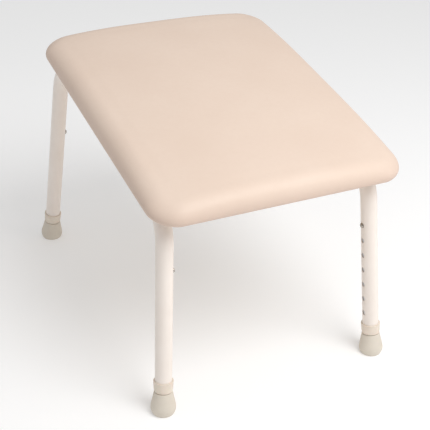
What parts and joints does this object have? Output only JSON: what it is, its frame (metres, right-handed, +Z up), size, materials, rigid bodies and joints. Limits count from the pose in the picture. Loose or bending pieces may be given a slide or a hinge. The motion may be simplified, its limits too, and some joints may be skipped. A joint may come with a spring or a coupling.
{
  "type": "shower stool",
  "caption": "Shower stool with a sloping padded vinyl seat on a bent tube frame and splayed legs that adjust in height on sprung buttons.",
  "frame": {"origin": "on the floor under the middle of the four feet, which is the bottom centre of the bounding box", "axes": "+Z up; +Y from the low front edge of the seat to its high rear edge; +X to the right of someone who looks along +Y"},
  "size_m": [0.3994, 0.5658, 0.419],
  "materials": {
    "vinyl": "satin",
    "foam": "matte",
    "plywood": "matte",
    "frame_paint": "satin",
    "leg_steel": "satin",
    "collar_plastic": "satin",
    "ferrule_rubber": "matte",
    "plug_plastic": "matte",
    "button_metal": "polished",
    "spring_steel": "satin",
    "zinc_steel": "satin",
    "washer_plastic": "matte"
  },
  "bodies": {
    "frame": {"seat_cover": "vinyl", "seat_foam": "foam", "seat_board": "plywood", "seat_staples": "zinc_steel", "seat_tee_nuts": "zinc_steel", "seat_bolts": "zinc_steel", "saddle_washers": "washer_plastic", "front_cross_rail": "frame_paint", "rear_cross_rail": "frame_paint", "left_side_frame": "frame_paint", "right_side_frame": "frame_paint", "front_left_collar": "collar_plastic", "rear_left_collar": "collar_plastic", "front_right_collar": "collar_plastic", "rear_right_collar": "collar_plastic"},
    "front_left_leg": {"front_left_inner_leg": "leg_steel", "front_left_ferrule": "ferrule_rubber", "front_left_ferrule_washer": "zinc_steel", "front_left_glide_plug": "plug_plastic", "front_left_button_spring": "spring_steel"},
    "front_left_button": {"front_left_snap_button": "button_metal"},
    "rear_left_leg": {"rear_left_inner_leg": "leg_steel", "rear_left_ferrule": "ferrule_rubber", "rear_left_ferrule_washer": "zinc_steel", "rear_left_glide_plug": "plug_plastic", "rear_left_button_spring": "spring_steel"},
    "rear_left_button": {"rear_left_snap_button": "button_metal"},
    "front_right_leg": {"front_right_inner_leg": "leg_steel", "front_right_ferrule": "ferrule_rubber", "front_right_ferrule_washer": "zinc_steel", "front_right_glide_plug": "plug_plastic", "front_right_button_spring": "spring_steel"},
    "front_right_button": {"front_right_snap_button": "button_metal"},
    "rear_right_leg": {"rear_right_inner_leg": "leg_steel", "rear_right_ferrule": "ferrule_rubber", "rear_right_ferrule_washer": "zinc_steel", "rear_right_glide_plug": "plug_plastic", "rear_right_button_spring": "spring_steel"},
    "rear_right_button": {"rear_right_snap_button": "button_metal"}
  },
  "joints": [
    {"name": "front_left_leg_slide", "type": "slide", "parent": "frame", "child": "front_left_leg", "axis": [-0.056, -0.1354, -0.9892], "range_m": [0, 0.1524]},
    {"name": "front_left_button_press", "type": "slide", "parent": "front_left_leg", "child": "front_left_button", "axis": [-0.9984, 0, 0.0565], "range_m": [0, 0.0056], "stiffness_N_per_m": 2000, "springref_m": -0.003, "deforming": ["front_left_button_spring"]},
    {"name": "rear_left_leg_slide", "type": "slide", "parent": "frame", "child": "rear_left_leg", "axis": [-0.056, 0.1354, -0.9892], "range_m": [0, 0.1524]},
    {"name": "rear_left_button_press", "type": "slide", "parent": "rear_left_leg", "child": "rear_left_button", "axis": [-0.9984, 0, 0.0565], "range_m": [0, 0.0056], "stiffness_N_per_m": 2000, "springref_m": -0.003, "deforming": ["rear_left_button_spring"]},
    {"name": "front_right_leg_slide", "type": "slide", "parent": "frame", "child": "front_right_leg", "axis": [0.056, -0.1354, -0.9892], "range_m": [0, 0.1524]},
    {"name": "front_right_button_press", "type": "slide", "parent": "front_right_leg", "child": "front_right_button", "axis": [0.9984, 0, 0.0565], "range_m": [0, 0.0056], "stiffness_N_per_m": 2000, "springref_m": -0.003, "deforming": ["front_right_button_spring"]},
    {"name": "rear_right_leg_slide", "type": "slide", "parent": "frame", "child": "rear_right_leg", "axis": [0.056, 0.1354, -0.9892], "range_m": [0, 0.1524]},
    {"name": "rear_right_button_press", "type": "slide", "parent": "rear_right_leg", "child": "rear_right_button", "axis": [0.9984, 0, 0.0565], "range_m": [0, 0.0056], "stiffness_N_per_m": 2000, "springref_m": -0.003, "deforming": ["rear_right_button_spring"]}
  ]
}
